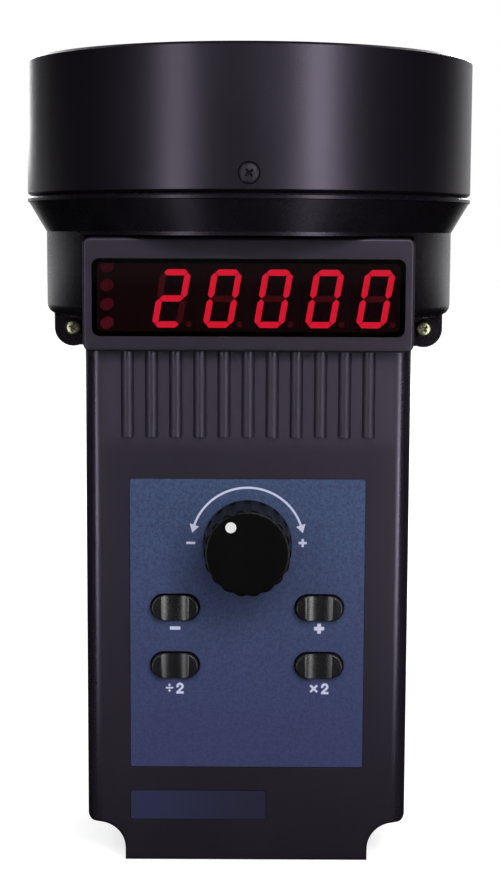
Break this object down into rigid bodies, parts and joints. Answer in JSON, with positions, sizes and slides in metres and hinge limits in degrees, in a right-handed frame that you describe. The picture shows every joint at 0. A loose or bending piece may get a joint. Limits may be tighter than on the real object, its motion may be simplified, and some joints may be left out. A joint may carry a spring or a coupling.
{
  "type": "xenon stroboscope",
  "caption": "Hand-held xenon stroboscope: round lamp hood on a flat-panelled body with a digital display, a rotary knob, push buttons and a rear pistol grip.",
  "frame": {"origin": "on the flat tail face, on the axis of the lamp head", "axes": "+Z along the head's axis from the tail to the lamp's mouth, -Y out of the control panel, +Y towards the grip, +X to the right of someone facing the panel"},
  "size_m": [0.1204, 0.1598, 0.2079],
  "materials": {
    "hood_plastic": "semi-matte moulded, near black",
    "bowl_plastic": "semi-matte moulded, near black",
    "shell_plastic": "semi-matte moulded, near black",
    "grip_plastic": "fine spark texture, near black",
    "label_print": "slate-blue printed overlay, satin",
    "trim_print": "bare dark blue plate",
    "window_acrylic": "smoked acrylic, polished",
    "lens_acrylic": "clear acrylic, polished",
    "gasket_rubber": "black, matte",
    "reflector_mirror": "vacuum-metallised",
    "tube_glass": "clear quartz",
    "electrode_metal": "nickel-plated",
    "lamp_ceramic": "unglazed white",
    "zinc_screw": "yellow-passivated zinc",
    "black_screw": "blackened steel",
    "steel_screw": "bright zinc",
    "knob_plastic": "gloss black",
    "dot_paint": "white paint",
    "button_plastic": "gloss black",
    "plunger_plastic": "grey acetal",
    "switch_case": "black",
    "board_fibre": "green solder resist",
    "digit_case": "black faced",
    "lit_red": "lit red epoxy",
    "dark_red": "unlit red epoxy",
    "led_red": "red epoxy",
    "encoder_metal": "plated",
    "brass": "turned",
    "core_steel": "varnished laminations",
    "winding_tape": "yellow tape",
    "capacitor_sleeve": "dark blue sleeve",
    "coil_resin": "red-brown varnish",
    "fuse_glass": "clear",
    "wire_cover": "red silicone",
    "ribbon_grey": "grey",
    "switch_plastic": "black nylon",
    "rocker_plastic": "black nylon",
    "inlet_plastic": "black nylon"
  },
  "bodies": {
    "root": {"hood": "hood_plastic", "hood_screws": "black_screw", "lens": "lens_acrylic", "lens_gasket": "gasket_rubber", "reflector": "reflector_mirror", "rear_bowl": "bowl_plastic", "lug_screws": "zinc_screw", "lamp_base": "lamp_ceramic", "lamp_base_screws": "steel_screw", "flash_tube": "tube_glass", "tube_electrodes": "electrode_metal", "lamp_leads": "wire_cover", "front_shell": "shell_plastic", "back_shell": "shell_plastic", "shell_screws": "black_screw", "control_label": "label_print", "trim_plate": "trim_print", "display_window": "window_acrylic", "display_board": "board_fibre", "digit_modules": "digit_case", "lit_segments": "lit_red", "dark_segments": "dark_red", "indicator_leds": "led_red", "display_ribbon": "ribbon_grey", "control_board": "board_fibre", "board_screws": "steel_screw", "encoder_body": "encoder_metal", "encoder_nut": "brass", "tact_switches": "switch_case", "main_board": "board_fibre", "transformer_core": "core_steel", "transformer_winding": "winding_tape", "flash_capacitors": "capacitor_sleeve", "trigger_coil": "coil_resin", "fuse": "fuse_glass", "fuse_clips": "brass", "mains_leads": "wire_cover", "grip_left": "grip_plastic", "grip_right": "grip_plastic", "grip_screws": "black_screw", "switch_frame": "switch_plastic", "power_inlet": "inlet_plastic", "inlet_pins": "brass", "tripod_bush": "brass"},
    "knob_body": {"knob": "knob_plastic", "knob_dot": "dot_paint", "encoder_shaft": "encoder_metal"},
    "rocker_body": {"power_rocker": "rocker_plastic"},
    "minus_body": {"button_minus": "button_plastic", "plunger_minus": "plunger_plastic"},
    "plus_body": {"button_plus": "button_plastic", "plunger_plus": "plunger_plastic"},
    "half_body": {"button_half": "button_plastic", "plunger_half": "plunger_plastic"},
    "double_body": {"button_double": "button_plastic", "plunger_double": "plunger_plastic"}
  },
  "joints": [
    {"name": "knob_turn", "type": "hinge", "parent": "root", "child": "knob_body", "pos_m": [0, -0.05, 0.0839], "axis": [0, 1, 0], "continuous": true},
    {"name": "minus_press", "type": "slide", "parent": "root", "child": "minus_body", "axis": [0, 1, 0], "range_m": [0, 0.0006], "stiffness_N_per_m": 300, "springref_m": -0.001},
    {"name": "plus_press", "type": "slide", "parent": "root", "child": "plus_body", "axis": [0, 1, 0], "range_m": [0, 0.0006], "stiffness_N_per_m": 300, "springref_m": -0.001},
    {"name": "half_press", "type": "slide", "parent": "root", "child": "half_body", "axis": [0, 1, 0], "range_m": [0, 0.0006], "stiffness_N_per_m": 300, "springref_m": -0.001},
    {"name": "double_press", "type": "slide", "parent": "root", "child": "double_body", "axis": [0, 1, 0], "range_m": [0, 0.0006], "stiffness_N_per_m": 300, "springref_m": -0.001},
    {"name": "rocker_tilt", "type": "hinge", "parent": "root", "child": "rocker_body", "pos_m": [0, 0.041, 0.0752], "axis": [1, 0, 0], "range_deg": [0, 20]}
  ]
}
